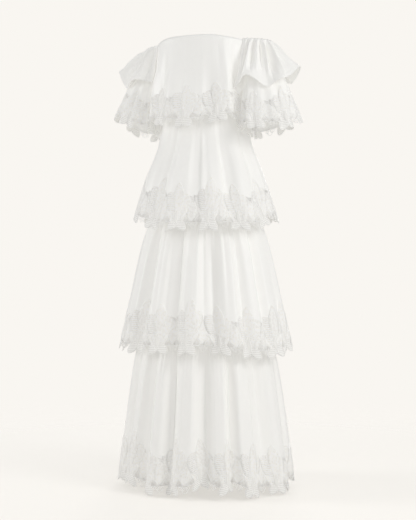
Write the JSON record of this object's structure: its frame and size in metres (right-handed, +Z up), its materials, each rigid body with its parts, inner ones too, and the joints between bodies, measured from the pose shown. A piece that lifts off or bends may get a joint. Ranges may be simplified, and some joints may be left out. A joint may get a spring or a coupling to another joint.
{
  "type": "off-the-shoulder tiered maxi dress",
  "caption": "Off-the-shoulder maxi dress in white satin, with flutter sleeves, a loose popover bodice layer and flared tiers edged in flower lace.",
  "frame": {"origin": "the middle of the neckline, where the dress is held round the body", "axes": "+Z up, the front faces -Y, and +X is towards the wearer's left"},
  "size_m": [0.582, 0.4527, 1.2864],
  "materials": {
    "satin": "soft white satin with a low sheen",
    "lace": "matt white corded flower lace",
    "lining": "plain white satin, hidden layers"
  },
  "bodies": {
    "root": {"popover_front": "satin", "popover_back": "satin", "tier_1_front": "satin", "tier_1_back": "satin", "tier_2_front": "satin", "tier_2_back": "satin", "tier_3_front": "satin", "tier_3_back": "satin", "sleeve_left": "satin", "sleeve_right": "satin", "sleeve_left_flounce": "satin", "sleeve_right_flounce": "satin", "popover_lace_front": "lace", "popover_lace_back": "lace", "tier_1_lace_front": "lace", "tier_1_lace_back": "lace", "tier_2_lace_front": "lace", "tier_2_lace_back": "lace", "tier_3_lace_front": "lace", "tier_3_lace_back": "lace", "sleeve_left_lace": "lace", "sleeve_right_lace": "lace", "bodice_front": "lining", "bodice_back": "lining", "underskirt_upper": "lining", "underskirt_lower": "lining"}
  },
  "joints": []
}
